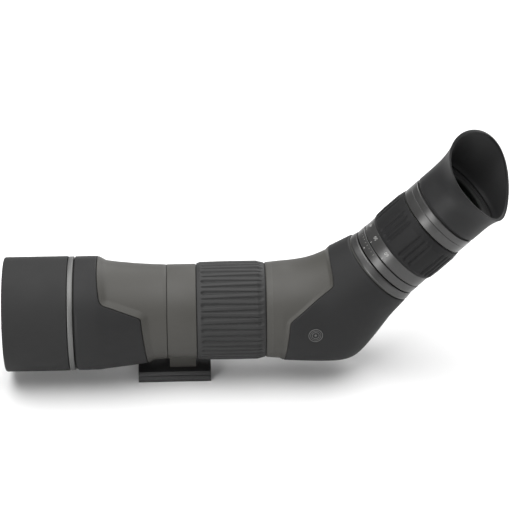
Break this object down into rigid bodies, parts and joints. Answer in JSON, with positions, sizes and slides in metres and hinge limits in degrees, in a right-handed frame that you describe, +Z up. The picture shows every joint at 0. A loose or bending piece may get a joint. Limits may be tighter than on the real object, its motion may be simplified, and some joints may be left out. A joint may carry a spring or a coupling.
{
  "type": "angled spotting scope",
  "caption": "Angled field telescope with sliding hood, ribbed focus ring, zoom eyepiece with winged eyecup, and a tripod collar on a dovetail foot.",
  "frame": {"origin": "on the underside of the foot plate, on the axis of the tripod thread", "axes": "+Z up out of the foot, +X along the barrel from the objective to the eyepiece, +Y to the lock knob's side"},
  "size_m": [0.3392, 0.0841, 0.1697],
  "materials": {
    "barrel_paint": "satin grey-olive paint",
    "armour_rubber": "matt moulded armour",
    "hood_paint": "satin",
    "ring_metal": "fine satin",
    "eyepiece_metal": "semi-gloss anodised",
    "focus_rubber": "ribbed matt",
    "grip_rubber": "fluted matt",
    "eyecup_rubber": "soft matt",
    "seal_rubber": "matt",
    "guide_felt": "flocked",
    "foot_metal": "satin anodised",
    "knob_metal": "satin anodised",
    "inner_metal": "matt black anodised",
    "screw_steel": "satin",
    "insert_steel": "satin",
    "spring_steel": "satin",
    "liner_plastic": "low-friction bearing plastic",
    "lens_glass": "coated",
    "prism_glass": "polished",
    "mark_paint": "filled mark"
  },
  "bodies": {
    "mount": {"tripod_collar": "barrel_paint", "collar_liner": "liner_plastic", "tripod_foot": "foot_metal", "foot_screws": "screw_steel", "stop_screws": "screw_steel", "thread_insert": "insert_steel"},
    "lock": {"lock_stud": "screw_steel", "lock_knob": "knob_metal"},
    "hood": {"lens_hood": "hood_paint", "hood_guide_ring": "guide_felt"},
    "focus_ring": {"focus_ring_core": "inner_metal", "focus_grip": "focus_rubber"},
    "focus_carriage": {"focus_cell": "inner_metal", "focus_lens": "lens_glass", "focus_pin": "screw_steel"},
    "zoom_ring": {"zoom_ring_core": "eyepiece_metal", "zoom_grip": "grip_rubber", "zoom_marks": "mark_paint"},
    "front_zoom_group": {"front_zoom_cell": "inner_metal", "front_zoom_lens": "lens_glass"},
    "rear_zoom_group": {"rear_zoom_cell": "inner_metal", "rear_zoom_lens": "lens_glass"},
    "eyecup_slide": {"eyecup_sleeve": "inner_metal"},
    "eyecup": {"eyecup_insert": "inner_metal", "eyecup_rubber": "eyecup_rubber"},
    "scope": {"front_housing": "barrel_paint", "front_armour": "armour_rubber", "trim_ring": "ring_metal", "hood_stop_ring": "inner_metal", "objective_cell": "inner_metal", "crown_lens": "lens_glass", "flint_lens": "lens_glass", "lens_spacer": "inner_metal", "retaining_ring": "inner_metal", "objective_seal": "seal_rubber", "front_baffle": "inner_metal", "journal_tube": "inner_metal", "housing_flange": "barrel_paint", "rear_housing": "barrel_paint", "rear_armour": "armour_rubber", "badge": "ring_metal", "prism_carrier": "inner_metal", "entry_prism": "prism_glass", "roof_prism": "prism_glass", "prism_clip": "spring_steel", "clip_screws": "screw_steel", "eyepiece_base": "eyepiece_metal", "scale_ring": "eyepiece_metal", "eyepiece_barrel": "inner_metal", "field_stop": "inner_metal", "inner_eye_lens": "lens_glass", "eye_lens_spacer": "inner_metal", "outer_eye_lens": "lens_glass", "eyepiece_bezel": "inner_metal", "top_ring": "eyepiece_metal"}
  },
  "joints": [
    {"name": "collar_turn", "type": "hinge", "parent": "mount", "child": "scope", "pos_m": [0.00495, 0, 0.045], "axis": [1, 0, 0], "range_deg": [-90, 90]},
    {"name": "lock_turn", "type": "hinge", "parent": "mount", "child": "lock", "pos_m": [0.00495, 0, 0.045], "axis": [0, 0.9063, -0.4226], "range_deg": [-90, 180]},
    {"name": "hood_slide", "type": "slide", "parent": "scope", "child": "hood", "axis": [-1, 0, 0], "range_m": [0, 0.025]},
    {"name": "focus_turn", "type": "hinge", "parent": "scope", "child": "focus_ring", "pos_m": [0.038, 0, 0.045], "axis": [1, 0, 0], "range_deg": [-160, 160]},
    {"name": "focus_travel", "type": "slide", "parent": "scope", "child": "focus_carriage", "axis": [1, 0, 0], "range_m": [-0.005, 0.005]},
    {"name": "zoom_turn", "type": "hinge", "parent": "scope", "child": "zoom_ring", "pos_m": [0.15913, 0, 0.09803], "axis": [0.7071, 0, 0.7071], "range_deg": [-60, 60]},
    {"name": "front_zoom_travel", "type": "slide", "parent": "scope", "child": "front_zoom_group", "axis": [0.7071, 0, 0.7071], "range_m": [-0.004, 0.004]},
    {"name": "rear_zoom_travel", "type": "slide", "parent": "scope", "child": "rear_zoom_group", "axis": [0.7071, 0, 0.7071], "range_m": [-0.004, 0.004]},
    {"name": "eyecup_rise", "type": "slide", "parent": "scope", "child": "eyecup_slide", "axis": [0.7071, 0, 0.7071], "range_m": [0, 0.008]},
    {"name": "eyecup_twist", "type": "hinge", "parent": "eyecup_slide", "child": "eyecup", "pos_m": [0.1853, 0, 0.1242], "axis": [0.7071, 0, 0.7071], "range_deg": [0, 120]}
  ],
  "couplings": [
    {"joint": "focus_travel", "follows": "focus_turn", "m_per_rad": 0.00179},
    {"joint": "front_zoom_travel", "follows": "zoom_turn", "m_per_rad": 0.0038},
    {"joint": "rear_zoom_travel", "follows": "zoom_turn", "m_per_rad": -0.0038},
    {"joint": "eyecup_rise", "follows": "eyecup_twist", "m_per_rad": 0.00381}
  ]
}
